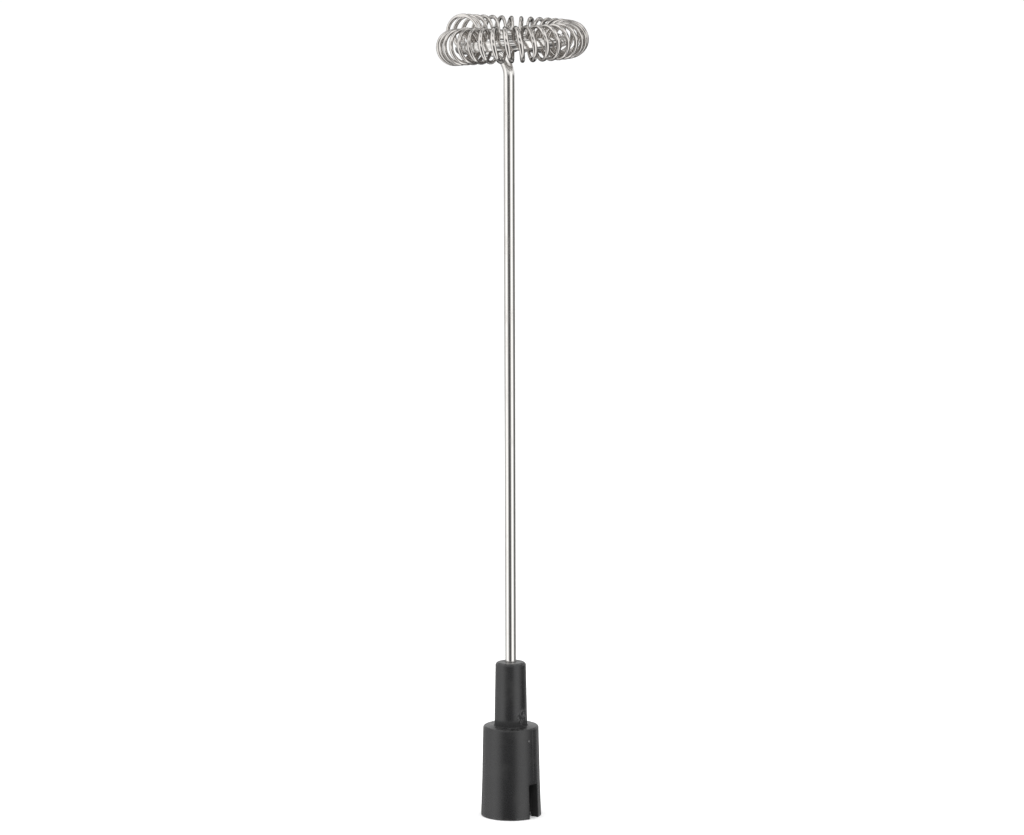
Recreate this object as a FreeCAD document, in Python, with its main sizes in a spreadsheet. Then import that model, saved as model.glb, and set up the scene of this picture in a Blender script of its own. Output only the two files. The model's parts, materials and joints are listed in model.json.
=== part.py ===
import FreeCAD, Part
import math
import os
import Sketcher

# Whisk attachment of a hand-held milk frother, in millimetres.
#
# The origin is the centre of the coupler's open rim, +Z runs up the stem to the whisk
# ring, and -Y is the side with the drive slot that shows most. Angles round the ring are
# counted from +X towards +Y, seen from above, so the front of the ring is at 270 degrees.

doc = FreeCAD.newDocument("frother_whisk")
sheet = doc.addObject("Spreadsheet::Sheet", "sizes")

DRIVING_SIZES = [
    # whisk wire: one length of stainless wire, bent into stem, spoke and ring
    ("wire_diameter", 2.0, "whisk wire, stem and ring alike"),
    ("spoke_height", 141.8, "rim to the wire's centre where the elbow ends"),
    ("elbow_radius", 4.6, "bend from the stem to the spoke"),
    ("spoke_length", 0.55, "straight run between the two bends"),
    ("hook_radius", 3.0, "bend from the spoke into the ring"),
    ("ring_radius", 9.35, "centreline of the wire ring"),
    ("ring_rise", 3.04, "height that the ring gains in one full turn"),
    ("ring_start", 180.0, "degrees, where the hook runs into the ring"),
    ("ring_tip", 517.0, "degrees, cut end of the wire"),
    ("swage_length", 3.0, "flattened end that stops the wire turning in the neck"),
    ("swage_width", 2.5, "across the flattened end"),
    ("swage_thickness", 1.5, "between the two flats"),
    # foaming spring: fine open coil threaded on the ring
    ("spring_wire", 0.7, "wire of the spring"),
    ("spring_diameter", 6.7, "outside of the coil"),
    ("spring_play", 0.4, "gap from coil to ring wire on the inner side"),
    ("spring_lift", 0.2, "coil centre above the ring wire's centre"),
    ("spring_start", 184.5, "degrees, first end of the coil"),
    ("spring_end", 509.2, "degrees, last end of the coil"),
    ("spring_turns", 33.47, "turns between the two ends"),
    ("spring_roll", 160.0, "degrees round the coil where its first end lies"),
    # coupler: one black moulding, a neck on the wire and a socket for the drive
    ("rim_diameter", 11.05, "outside at the open rim"),
    ("shoulder_diameter", 10.3, "outside just under the shoulder"),
    ("barrel_height", 16.95, "rim to shoulder"),
    ("neck_base_diameter", 6.1, "neck where it meets the shoulder"),
    ("neck_tip_diameter", 5.65, "neck where the stem enters"),
    ("neck_length", 11.95, "shoulder to the top of the neck"),
    ("grip_depth", 10.5, "length of wire held in the neck"),
    ("socket_diameter", 8.2, "blind socket for the drive spigot"),
    ("socket_depth", 14.0, "rim to the socket's floor"),
    ("slot_width", 2.3, "drive slots, side to side"),
    ("slot_height", 6.4, "drive slots, from the rim up"),
    ("slot_angle", 321.0, "degrees, centre of the first drive slot"),
    ("slot_round", 0.3, "corners at the top of a drive slot"),
    ("neck_round", 0.55, "edge round the top of the neck"),
    ("shoulder_round", 0.35, "edge round the shoulder"),
    ("root_round", 0.25, "inside corner between neck and shoulder"),
    ("rim_round", 0.15, "outer edge of the rim"),
]

for row, (alias, value, meaning) in enumerate(DRIVING_SIZES, start=1):
    sheet.set("A%d" % row, alias)
    sheet.set("B%d" % row, "%g" % value)
    sheet.set("C%d" % row, meaning)
    sheet.setAlias("B%d" % row, alias)
doc.recompute()


def size(alias):
    """A driving size, read from the sheet."""
    return float(sheet.get(alias))


def bind(thing, prop, formula):
    """Tie a property to the sheet; names in the formula are the sheet's aliases."""
    words = [alias for alias, _, _ in DRIVING_SIZES]
    for alias in sorted(words, key=len, reverse=True):
        formula = formula.replace("<%s>" % alias, "sizes.%s" % alias)
    thing.setExpression(prop, formula)


def round_point(centre_x, radius, angle, height):
    """A point at an angle in degrees on a level circle about (centre_x, 0)."""
    turn = math.radians(angle)
    return FreeCAD.Vector(centre_x + radius * math.cos(turn), radius * math.sin(turn), height)


# ---------------------------------------------------------------- shared measures
# From the elbow on, the wire climbs at one steady slope, so spoke, hook and ring join
# without a kink. The hook's centre lies on the X axis, which fixes the ring's centre.

UP = FreeCAD.Vector(0, 0, 1)
slope = math.atan(size("ring_rise") / (2.0 * math.pi * size("ring_radius")))
elbow_turn = math.pi / 2.0 - slope
reach = size("elbow_radius") * (1.0 - math.cos(elbow_turn)) + size("spoke_length")
hook_centre_x = -math.hypot(reach, size("hook_radius"))
ring_centre_x = hook_centre_x + size("ring_radius") - size("hook_radius")
heading = 180.0 - math.degrees(math.asin(size("hook_radius") / -hook_centre_x))
hook_turn = size("ring_start") + 90.0 - heading
hook_foot = size("spoke_height") + size("spoke_length") * math.tan(slope)
ring_foot = hook_foot + math.radians(hook_turn) * size("hook_radius") * math.tan(slope)

neck_top = size("barrel_height") + size("neck_length")
wire_foot = neck_top - size("grip_depth")


def ring_height(angle):
    """Height of the ring wire's centre at an angle round the ring, in degrees."""
    return ring_foot + size("ring_rise") * (angle - size("ring_start")) / 360.0


# ---------------------------------------------------------------- whisk wire
def climbing_arc(centre_x, radius, start_angle, turn, start_height):
    """Part of a helix about (centre_x, 0) that climbs at the ring's slope."""
    rise = math.radians(turn) * radius * math.tan(slope)
    helix = Part.makeHelix(rise * 360.0 / turn, rise, radius)
    helix.rotate(FreeCAD.Vector(), UP, start_angle)
    helix.translate(FreeCAD.Vector(centre_x, 0, start_height))
    return helix.Edges[0]


def wire_centreline():
    """Stem, elbow, spoke, hook and ring as one smooth chain of edges."""
    radius = size("elbow_radius")
    turned = math.radians(heading)
    outward = FreeCAD.Vector(math.cos(turned), math.sin(turned), 0)
    elbow_foot = size("spoke_height") - radius * math.sin(elbow_turn)

    def on_elbow(turn):
        return outward * (radius * (1.0 - math.cos(turn))) + UP * (elbow_foot + radius * math.sin(turn))

    top = on_elbow(elbow_turn)
    run = outward * size("spoke_length") + UP * (size("spoke_length") * math.tan(slope))
    return Part.Wire([
        Part.LineSegment(UP * (wire_foot + size("swage_length")), on_elbow(0.0)).toShape(),
        Part.Arc(on_elbow(0.0), on_elbow(elbow_turn / 2.0), top).toShape(),
        Part.LineSegment(top, top + run).toShape(),
        climbing_arc(hook_centre_x, size("hook_radius"), heading - 90.0, hook_turn, hook_foot),
        climbing_arc(ring_centre_x, size("ring_radius"), size("ring_start"),
                     size("ring_tip") - size("ring_start"), ring_foot),
    ])


path = doc.addObject("Part::Feature", "wire_centreline")
path.Shape = wire_centreline()
section = doc.addObject("Part::Circle", "wire_section")
bind(section, "Radius", "<wire_diameter> / 2")
bind(section, "Placement.Base.z", "<barrel_height> + <neck_length> - <grip_depth> + <swage_length>")
bent_wire = doc.addObject("Part::Sweep", "bent_wire")
bent_wire.Sections = [section]
bent_wire.Spine = (path, ["Edge%d" % (i + 1) for i in range(len(path.Shape.Edges))])
bent_wire.Solid = True

swaged_end = doc.addObject("Part::Box", "swaged_end")
bind(swaged_end, "Length", "<swage_width>")
bind(swaged_end, "Width", "<swage_thickness>")
bind(swaged_end, "Height", "<swage_length>")
bind(swaged_end, "Placement.Base.x", "-<swage_width> / 2")
bind(swaged_end, "Placement.Base.y", "-<swage_thickness> / 2")
bind(swaged_end, "Placement.Base.z", "<barrel_height> + <neck_length> - <grip_depth>")

whisk_wire = doc.addObject("Part::Fuse", "whisk_wire")
whisk_wire.Base = bent_wire
whisk_wire.Tool = swaged_end


# ---------------------------------------------------------------- foaming spring
# The coil's centre follows the wire ring a little outside it, so that the wire runs
# near the inner side of the coil. It is wound right-handed: seen from outside the ring,
# each strand comes down as it goes on round.
SPRING_POINTS_PER_TURN = 14


def spring_point(share):
    """A point of the spring wire's centreline, a share of the way from end to end."""
    coil_radius = (size("spring_diameter") - size("spring_wire")) / 2.0
    inner_room = size("spring_diameter") / 2.0 - size("spring_wire") - size("wire_diameter") / 2.0
    coil_ring = size("ring_radius") + inner_room - size("spring_play")
    angle = size("spring_start") + share * (size("spring_end") - size("spring_start"))
    roll = math.radians(size("spring_roll") - 360.0 * size("spring_turns") * share)
    centre_height = ring_height(angle) + size("spring_lift")
    return round_point(ring_centre_x, coil_ring + coil_radius * math.cos(roll), angle,
                       centre_height + coil_radius * math.sin(roll))


def spring_solid():
    """The spring wire, swept round its centreline."""
    count = int(round(size("spring_turns") * SPRING_POINTS_PER_TURN))
    centreline = Part.BSplineCurve()
    centreline.interpolate([spring_point(i / count) for i in range(count + 1)])
    start = centreline.value(centreline.FirstParameter)
    along = centreline.tangent(centreline.FirstParameter)[0]
    cut_end = Part.Wire([Part.Circle(start, along, size("spring_wire") / 2.0).toShape()])
    return Part.Wire([centreline.toShape()]).makePipeShell([cut_end], True, True)


foaming_spring = doc.addObject("Part::Feature", "foaming_spring")
foaming_spring.Shape = spring_solid()
foaming_spring.Placement = FreeCAD.Placement()


# ---------------------------------------------------------------- coupler
def origin_plane(body, role):
    """One of a body's own base planes."""
    return next(item for item in body.Origin.OriginFeatures if item.Role == role)


def outline(sketch, corners):
    """Close straight lines through corners, each given as two formulas, across and up."""
    count = len(corners)
    for i in range(count):
        near = FreeCAD.Vector(i, i * i, 0)
        far = FreeCAD.Vector((i + 1) % count, ((i + 1) % count) ** 2, 0)
        sketch.addGeometry(Part.LineSegment(near, far), False)
    for i in range(count):
        sketch.addConstraint(Sketcher.Constraint("Coincident", i, 2, (i + 1) % count, 1))
    for i, (across, up) in enumerate(corners):
        for kind, formula, axis in (("DistanceX", across, -2), ("DistanceY", up, -1)):
            if formula == "0":
                sketch.addConstraint(Sketcher.Constraint("PointOnObject", i, 1, axis))
            else:
                index = sketch.addConstraint(Sketcher.Constraint(kind, -1, 1, i, 1, 1.0))
                bind(sketch, "Constraints[%d]" % index, formula)


def add_sketch(body, name, role, corners):
    """A closed sketch on one of the body's own base planes."""
    sketch = body.newObject("Sketcher::SketchObject", name)
    sketch.AttachmentSupport = [(origin_plane(body, role), "")]
    sketch.MapMode = "FlatFace"
    outline(sketch, corners)
    return sketch


def edges_where(feature, wanted):
    """Names of a feature's edges whose two ends and middle all pass a test."""
    names = []
    for number, edge in enumerate(feature.Shape.Edges, start=1):
        points = [edge.valueAt(edge.FirstParameter), edge.valueAt(edge.LastParameter),
                  edge.valueAt((edge.FirstParameter + edge.LastParameter) / 2.0)]
        if all(wanted(point) for point in points):
            names.append("Edge%d" % number)
    return names


def on_circle(diameter, height):
    """A test for points on a level circle round the axis."""
    def wanted(point):
        close = abs(math.hypot(point.x, point.y) - diameter / 2.0) < 1e-4
        return close and abs(point.z - height) < 1e-4
    return wanted


def round_off(body, name, radius_alias, wanted):
    """Fillet the body's edges that pass a test."""
    doc.recompute()
    base = body.Tip
    fillet = body.newObject("PartDesign::Fillet", name)
    fillet.Base = (base, edges_where(base, wanted))
    bind(fillet, "Radius", "<%s>" % radius_alias)
    return fillet


coupler = doc.addObject("PartDesign::Body", "coupler")

half_section = add_sketch(coupler, "half_section", "XZ_Plane", [
    ("<socket_diameter> / 2", "0"),
    ("<rim_diameter> / 2", "0"),
    ("<shoulder_diameter> / 2", "<barrel_height>"),
    ("<neck_base_diameter> / 2", "<barrel_height>"),
    ("<neck_tip_diameter> / 2", "<barrel_height> + <neck_length>"),
    ("<wire_diameter> / 2", "<barrel_height> + <neck_length>"),
    ("<wire_diameter> / 2", "<barrel_height> + <neck_length> - <grip_depth> + <swage_length>"),
    ("0", "<barrel_height> + <neck_length> - <grip_depth> + <swage_length>"),
    ("0", "<socket_depth>"),
    ("<socket_diameter> / 2", "<socket_depth>"),
])
turned = coupler.newObject("PartDesign::Revolution", "turned")
turned.Profile = half_section
turned.ReferenceAxis = (half_section, ["V_Axis"])
turned.Angle = 360.0

# The neck is moulded round the wire's flattened end, so the pocket for it is closed in.
swage_outline = add_sketch(coupler, "swage_outline", "XY_Plane", [
    ("-<swage_width> / 2", "-<swage_thickness> / 2"),
    ("<swage_width> / 2", "-<swage_thickness> / 2"),
    ("<swage_width> / 2", "<swage_thickness> / 2"),
    ("-<swage_width> / 2", "<swage_thickness> / 2"),
])
bind(swage_outline, "AttachmentOffset.Base.z", "<barrel_height> + <neck_length> - <grip_depth>")
swage_pocket = coupler.newObject("PartDesign::Pocket", "swage_pocket")
swage_pocket.Profile = swage_outline
swage_pocket.Reversed = True
bind(swage_pocket, "Length", "<swage_length>")

# Two drive slots lie opposite each other, so one cut through the axis makes both.
slot_outline = add_sketch(coupler, "slot_outline", "XZ_Plane", [
    ("-<slot_width> / 2", "-<slot_width>"),
    ("<slot_width> / 2", "-<slot_width>"),
    ("<slot_width> / 2", "<slot_height>"),
    ("-<slot_width> / 2", "<slot_height>"),
])
slot_outline.AttachmentOffset = FreeCAD.Placement(
    FreeCAD.Vector(), FreeCAD.Rotation(FreeCAD.Vector(0, 1, 0), size("slot_angle") - 270.0))
drive_slots = coupler.newObject("PartDesign::Pocket", "drive_slots")
drive_slots.Profile = slot_outline
drive_slots.Midplane = True
bind(drive_slots, "Length", "2 * <rim_diameter>")


def on_slot_top(point):
    """A test for points on the upper corners of the drive slots."""
    turn = math.radians(size("slot_angle") - 270.0)
    aside = abs(point.x * math.cos(turn) + point.y * math.sin(turn))
    return abs(point.z - size("slot_height")) < 1e-4 and abs(aside - size("slot_width") / 2.0) < 1e-4


round_off(coupler, "slot_corners", "slot_round", on_slot_top)
round_off(coupler, "neck_edge", "neck_round", on_circle(size("neck_tip_diameter"), neck_top))
round_off(coupler, "shoulder_edge", "shoulder_round",
          on_circle(size("shoulder_diameter"), size("barrel_height")))
round_off(coupler, "neck_root", "root_round",
          on_circle(size("neck_base_diameter"), size("barrel_height")))
round_off(coupler, "rim_edge", "rim_round", on_circle(size("rim_diameter"), 0.0))


# ---------------------------------------------------------------- check and write
doc.recompute()
SUB_PARTS = [whisk_wire, foaming_spring, coupler]

for thing in doc.Objects:
    if "Invalid" in thing.State or "Error" in thing.State:
        raise RuntimeError("%s did not recompute: %s" % (thing.Name, thing.State))
os.makedirs("parts", exist_ok=True)
for sub_part in SUB_PARTS:
    shape = sub_part.Shape
    if shape.isNull() or not shape.isValid() or len(shape.Solids) != 1:
        raise RuntimeError("%s is not one sound solid" % sub_part.Label)
for sub_part in SUB_PARTS:
    sub_part.Shape.exportStep(os.path.join("parts", sub_part.Label + ".step"))
    box = sub_part.Shape.BoundBox
    print("%-16s %9.3f mm3  x %7.2f %7.2f  y %7.2f %7.2f  z %7.2f %7.2f" % (
        sub_part.Label, sub_part.Shape.Volume, box.XMin, box.XMax,
        box.YMin, box.YMax, box.ZMin, box.ZMax))
print("ring centre x %.3f mm, heading of the spoke %.1f degrees" % (ring_centre_x, heading))
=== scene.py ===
# %% [markdown]
# # The whisk of a milk frother, finished around its frame
#
# The real object is a length of bright steel wire, bent into a stem and a ring, a fine
# coil spring threaded on the ring, and a black moulded coupler that plugs into the
# frother's handle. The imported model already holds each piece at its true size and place,
# so the lesson never measures anything twice: it loads that model first, and every new
# piece is built where its CAD node stands. All sizes are in metres.

# %% Load the frame
import json
import math
import random

import bpy
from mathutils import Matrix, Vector


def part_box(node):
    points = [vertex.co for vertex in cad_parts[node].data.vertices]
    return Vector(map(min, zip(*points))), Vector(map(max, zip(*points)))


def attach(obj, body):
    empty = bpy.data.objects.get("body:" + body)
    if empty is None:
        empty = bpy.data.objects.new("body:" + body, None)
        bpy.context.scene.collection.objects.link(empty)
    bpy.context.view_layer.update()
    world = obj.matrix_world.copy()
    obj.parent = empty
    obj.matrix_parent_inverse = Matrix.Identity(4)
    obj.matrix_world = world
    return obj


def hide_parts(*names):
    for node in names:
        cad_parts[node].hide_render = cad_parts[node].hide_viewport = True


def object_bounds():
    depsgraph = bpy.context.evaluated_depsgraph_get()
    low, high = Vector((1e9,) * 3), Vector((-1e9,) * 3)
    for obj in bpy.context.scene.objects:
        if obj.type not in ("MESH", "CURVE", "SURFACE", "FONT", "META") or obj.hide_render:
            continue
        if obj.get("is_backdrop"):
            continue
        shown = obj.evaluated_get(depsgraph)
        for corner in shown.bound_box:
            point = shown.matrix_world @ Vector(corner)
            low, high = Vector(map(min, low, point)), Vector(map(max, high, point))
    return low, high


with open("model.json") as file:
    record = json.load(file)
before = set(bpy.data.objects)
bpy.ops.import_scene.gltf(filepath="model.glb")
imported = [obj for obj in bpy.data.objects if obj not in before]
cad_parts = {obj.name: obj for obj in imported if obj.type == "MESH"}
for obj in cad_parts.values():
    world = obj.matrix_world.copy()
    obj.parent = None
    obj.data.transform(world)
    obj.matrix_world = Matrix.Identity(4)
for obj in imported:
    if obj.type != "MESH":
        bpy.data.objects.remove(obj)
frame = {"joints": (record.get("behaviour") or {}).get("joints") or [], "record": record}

cad_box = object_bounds()
MM = 0.001
print("CAD box in mm:", [[round(side / MM, 2) for side in corner] for corner in cad_box])

# %% [markdown]
# ## Measures
#
# The coupler's box gives the top of its neck, the wire's box gives the place of its foot,
# the spring's joint gives the middle of the ring, and the drive socket is a mount in the
# record. What these can't tell, such as the radius of a bend, is named here once and used
# everywhere.

# %% Measures from the frame
_, coupler_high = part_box("coupler")
wire_low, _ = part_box("whisk_wire")
ring_x = frame["joints"][0]["pos_m"][0]
socket = next(mount for mount in frame["record"]["mounts"] if mount["name"] == "drive_socket")

NECK_TOP = coupler_high[2]
WIRE_FOOT = wire_low[2]
SOCKET_RADIUS = socket["dims"]["r_mm"] * MM
SOCKET_DEPTH = socket["dims"]["length_mm"] * MM
print("ring centre x %.3f mm, neck top %.2f mm, wire foot %.2f mm"
      % (ring_x / MM, NECK_TOP / MM, WIRE_FOOT / MM))

# %% Measures of the bends, the spring and the moulding
WIRE_RADIUS = 1.0 * MM
SPOKE_HEIGHT = 141.8 * MM
ELBOW_RADIUS = 4.6 * MM
SPOKE_LENGTH = 0.55 * MM
HOOK_RADIUS = 3.0 * MM
RING_RADIUS = 9.35 * MM
RING_RISE = 3.04 * MM
RING_START = math.radians(180.0)
RING_TIP = math.radians(517.0)

SPRING_WIRE_RADIUS = 0.35 * MM
COIL_RADIUS = 3.0 * MM
COIL_RING_RADIUS = 10.6 * MM
SPRING_LIFT = 0.2 * MM
SPRING_START = math.radians(184.5)
SPRING_END = math.radians(509.2)
SPRING_TURNS = 33.47
SPRING_ROLL = math.radians(160.0)

RIM_RADIUS = 5.525 * MM
SHOULDER_RADIUS = 5.15 * MM
SHOULDER_HEIGHT = 16.95 * MM
NECK_BASE_RADIUS = 3.05 * MM
NECK_TIP_RADIUS = 2.825 * MM
SLOT_WIDTH = 2.3 * MM
SLOT_HEIGHT = 6.4 * MM
SLOT_ANGLE = math.radians(321.0)

slope = math.atan(RING_RISE / (2.0 * math.pi * RING_RADIUS))
elbow_turn = math.pi / 2.0 - slope
hook_x = ring_x - RING_RADIUS + HOOK_RADIUS
heading = math.pi - math.asin(HOOK_RADIUS / -hook_x)
hook_turn = RING_START + math.pi / 2.0 - heading
hook_foot = SPOKE_HEIGHT + SPOKE_LENGTH * math.tan(slope)
ring_foot = hook_foot + hook_turn * HOOK_RADIUS * math.tan(slope)
print("the ring climbs at %.2f degrees, the spoke heads %.1f degrees round from the right"
      % (math.degrees(slope), math.degrees(heading)))

# %% [markdown]
# ## Working by hand, in code
#
# Blender's operators act on whatever is selected, so each piece starts from a clean
# state, and parts of a mesh are picked by where they lie. These few helpers do the
# clicking; the shape itself always comes from an operator.

# %% Helpers for clicking
def start_clean():
    """Nothing is selected, and no object is open for editing."""
    if bpy.context.mode != "OBJECT":
        bpy.ops.object.mode_set(mode="OBJECT")
    bpy.ops.object.select_all(action="DESELECT")


def name_piece(name):
    """Name the object just made, and put its place into its mesh."""
    piece = bpy.context.object
    piece.name = name
    piece.data.name = name
    bpy.ops.object.transform_apply(location=True, rotation=True, scale=True)
    return piece


def pick(wanted):
    """In edit mode, select the points that pass a test, with the edges between them."""
    bpy.ops.object.mode_set(mode="OBJECT")
    mesh = bpy.context.object.data
    chosen = [wanted(v.co) for v in mesh.vertices]
    mesh.vertices.foreach_set("select", chosen)
    mesh.edges.foreach_set("select", [all(chosen[i] for i in e.vertices) for e in mesh.edges])
    mesh.polygons.foreach_set("select", [all(chosen[i] for i in f.vertices) for f in mesh.polygons])
    bpy.ops.object.mode_set(mode="EDIT")
    return sum(chosen)


def grow(offset):
    """Extrude the selection by an offset."""
    bpy.ops.mesh.extrude_region_move(TRANSFORM_OT_translate={"value": offset})


def apply_modifiers(piece):
    """Make every modifier on a piece part of its mesh."""
    bpy.context.view_layer.objects.active = piece
    for modifier in list(piece.modifiers):
        bpy.ops.object.modifier_apply(modifier=modifier.name)


def tally(piece):
    """Say how large a piece is so far."""
    points = [v.co for v in piece.data.vertices]
    low = [min(point[axis] for point in points) / MM for axis in range(3)]
    high = [max(point[axis] for point in points) / MM for axis in range(3)]
    print("%s: %d faces, from %s to %s mm" % (
        piece.name, len(piece.data.polygons),
        [round(n, 2) for n in low], [round(n, 2) for n in high]))

# %% [markdown]
# ## The studio
#
# The camera and the light come first, so that every piece can be judged as soon as it
# stands. The camera is just above the top of the whisk and looks a little down through a
# long lens, so that the ring looks flat while the shoulder of the coupler shows its top.

# %% Camera
CAMERA_PLACE = Vector((0.6, -655.0, 157.0)) * MM
CAMERA_DIP = math.radians(7.17)
CAMERA_LEAN = math.radians(0.16)
LENS_TO_SENSOR = 3.502
SENSOR_WIDTH = 36.0

start_clean()
bpy.ops.object.camera_add(location=CAMERA_PLACE,
                          rotation=(math.pi / 2.0 - CAMERA_DIP, CAMERA_LEAN, 0.0))
camera = bpy.context.object
camera.name = "camera"
camera.data.sensor_width = SENSOR_WIDTH
camera.data.lens = LENS_TO_SENSOR * SENSOR_WIDTH
camera.data.clip_start = 0.01
camera.data.clip_end = 100.0
bpy.context.scene.camera = camera
print("lens %.1f mm, %.0f mm from the stem" % (camera.data.lens, -CAMERA_PLACE.y / MM))

# %% Floor
FLOOR_SIZE = 80.0

start_clean()
bpy.ops.mesh.primitive_plane_add(size=FLOOR_SIZE)
floor = name_piece("floor")
floor.visible_glossy = False
floor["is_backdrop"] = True
print("floor %.0f m square" % FLOOR_SIZE)

# %% [markdown]
# A mirror-bright wire shows nothing but the room round it. In a studio that room is a
# dark space behind the camera, a tall soft box on each side, and a white sweep behind.
# Such a room could be built from planes and lamps, but it would be noisy and would stand
# in the way of other views. Here the world itself is painted as that room: what a glossy
# ray sees depends on how far round from the front it points, to the right or the left,
# and how far up or down. Each angle becomes a place on a colour ramp, and the lighter of
# the two ramps wins. The floor and the lamps are hidden from glossy rays, or they would
# be mirrored as well.

# %% Helpers for node trees
# a Mix node names its sockets for numbers and for colours alike, so these count them
FIRST_COLOUR = 6
SECOND_COLOUR = 7
MIXED_COLOUR = 2


def add_node(tree, kind, **settings):
    """A new node in a tree, with its settings."""
    node = tree.nodes.new(kind)
    for name, value in settings.items():
        setattr(node, name, value)
    return node


def feed(tree, node, socket_name, source):
    """Give an input a number, a colour or another node's output."""
    target = node.inputs[socket_name]
    if isinstance(source, bpy.types.NodeSocket):
        tree.links.new(source, target)
    else:
        target.default_value = source


def maths(tree, operation, *sources, clamp=False):
    """One step of arithmetic, and its result."""
    node = add_node(tree, "ShaderNodeMath", operation=operation, use_clamp=clamp)
    for i, source in enumerate(sources):
        feed(tree, node, i, source)
    return node.outputs[0]


def grey(value, blue=0.0):
    """A grey as a colour, with a touch more blue if asked."""
    return (value, value, value + blue, 1.0)


def ramp(tree, factor, stops):
    """A colour ramp through grey stops, each a place and a brightness."""
    node = add_node(tree, "ShaderNodeValToRGB")
    band = node.color_ramp
    while len(band.elements) < len(stops):
        band.elements.new(0.5)
    for element, (place, brightness) in zip(band.elements, stops):
        element.position = place
        element.color = grey(brightness)
    feed(tree, node, "Fac", factor)
    return node.outputs["Color"]


# %% The room that the steel reflects
# each stop is an angle in degrees and a brightness
ROUND_STOPS = [(-180, 0.04), (-158, 0.08), (-146, 0.38), (-132, 0.40), (-118, 0.40),
               (-106, 0.66), (-92, 0.72), (-76, 1.0), (-57, 1.0), (-43, 0.60),
               (-29, 0.12), (-6, 0.05), (7, 0.09), (17, 0.28), (27, 0.75), (37, 1.0),
               (60, 1.0), (73, 0.58), (84, 0.22), (93, 0.07), (124, 0.08), (134, 0.45),
               (148, 0.45), (160, 0.06), (180, 0.04)]
UP_STOPS = [(-90, 0.12), (-60, 0.06), (-35, 0.0), (0, 0.0), (5, 0.70), (15, 0.70),
            (23, 0.05), (34, 0.05), (41, 0.85), (55, 0.85), (63, 0.12), (90, 0.15)]
ROOM_LIGHT = 1.12
ROOM_GLOSS = 1.5
WHITE = grey(1.0)


def stops_on_ramp(stops, span):
    """Stops given in degrees to each side of zero, placed along a ramp of that span."""
    return [(angle / span + 0.5, brightness) for angle, brightness in stops]


world = bpy.data.worlds.new("studio")
bpy.context.scene.world = world
world.use_nodes = True
tree = world.node_tree
tree.nodes.clear()
direction = add_node(tree, "ShaderNodeSeparateXYZ")
feed(tree, direction, "Vector", add_node(tree, "ShaderNodeTexCoord").outputs["Generated"])
toward_front = maths(tree, "MULTIPLY", direction.outputs["Y"], -1.0)
round_angle = maths(tree, "ARCTAN2", direction.outputs["X"], toward_front)
round_place = maths(tree, "MULTIPLY_ADD", round_angle, 0.5 / math.pi, 0.5)
around = ramp(tree, round_place, stops_on_ramp(ROUND_STOPS, 360.0))
up_angle = maths(tree, "ARCSINE", direction.outputs["Z"])
up_place = maths(tree, "MULTIPLY_ADD", up_angle, 1.0 / math.pi, 0.5)
above = ramp(tree, up_place, stops_on_ramp(UP_STOPS, 180.0))
room = add_node(tree, "ShaderNodeMix", data_type="RGBA", blend_type="LIGHTEN")
feed(tree, room, "Factor", 1.0)
feed(tree, room, FIRST_COLOUR, around)
feed(tree, room, SECOND_COLOUR, above)
seen = add_node(tree, "ShaderNodeBackground")
feed(tree, seen, "Color", WHITE)
feed(tree, seen, "Strength", ROOM_LIGHT)
reflected = add_node(tree, "ShaderNodeBackground")
feed(tree, reflected, "Color", room.outputs[MIXED_COLOUR])
feed(tree, reflected, "Strength", ROOM_GLOSS)
ray = add_node(tree, "ShaderNodeLightPath")
choice = add_node(tree, "ShaderNodeMixShader")
feed(tree, choice, "Fac", ray.outputs["Is Glossy Ray"])
tree.links.new(seen.outputs[0], choice.inputs[1])
tree.links.new(reflected.outputs[0], choice.inputs[2])
tree.links.new(choice.outputs[0], add_node(tree, "ShaderNodeOutputWorld").inputs["Surface"])
bpy.context.scene.view_settings.view_transform = "Standard"
print("room painted in", len(ROUND_STOPS), "bands round and", len(UP_STOPS), "up")

# %% Soft boxes
# each with its place, width, height and power in watts
LAMPS = [
    ("left_soft_box", (-0.75, -0.25, 0.35), 0.5, 0.9, 3.0),
    ("right_soft_box", (0.6, -0.5, 0.30), 0.4, 0.9, 2.5),
    ("overhead_soft_box", (0.0, 0.1, 0.9), 0.8, 0.8, 3.0),
]
AIM = Vector((0.0, 0.0, 0.075))

for name, place, width, height, power in LAMPS:
    start_clean()
    bpy.ops.object.light_add(type="AREA", location=place)
    lamp = bpy.context.object
    lamp.name = name
    lamp.data.shape = "RECTANGLE"
    lamp.data.size = width
    lamp.data.size_y = height
    lamp.data.energy = power
    lamp.visible_glossy = False
    lamp.rotation_euler = (AIM - Vector(place)).to_track_quat("-Z", "Y").to_euler()
print("lamps:", [name for name, *_ in LAMPS])

# %% [markdown]
# ## The whisk wire
#
# The real wire is drawn through a die, cut, flattened at its foot so that it can't turn
# in the plastic, and bent cold round pins. It could be a curve with a round bevel, but
# here it is made as the bending machine makes it: a round end is pushed along and carried
# round each pin in turn. The end stays square to the wire all the way, so the mesh is one
# even tube, and the order of its points later tells how far along the wire each one lies.

# %% Helpers for bending
WIRE_SIDES = 32
UPRIGHT = Vector((0.0, 0.0, 1.0))


def carry(pin, axis, turn, steps, rise=0.0):
    """Carry the selected end round a pin, a step at a time, climbing by rise in all."""
    for _ in range(steps):
        # the operator counts its angle the other way round, hence the minus
        bpy.ops.mesh.spin(steps=1, angle=-turn / steps, center=pin, axis=axis)
        bpy.ops.transform.translate(value=(0.0, 0.0, rise / steps))


def spot():
    """The middle of the selected end."""
    bpy.ops.object.mode_set(mode="OBJECT")
    chosen = [v.co for v in bpy.context.object.data.vertices if v.select]
    bpy.ops.object.mode_set(mode="EDIT")
    return sum(chosen, Vector()) / len(chosen)


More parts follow.
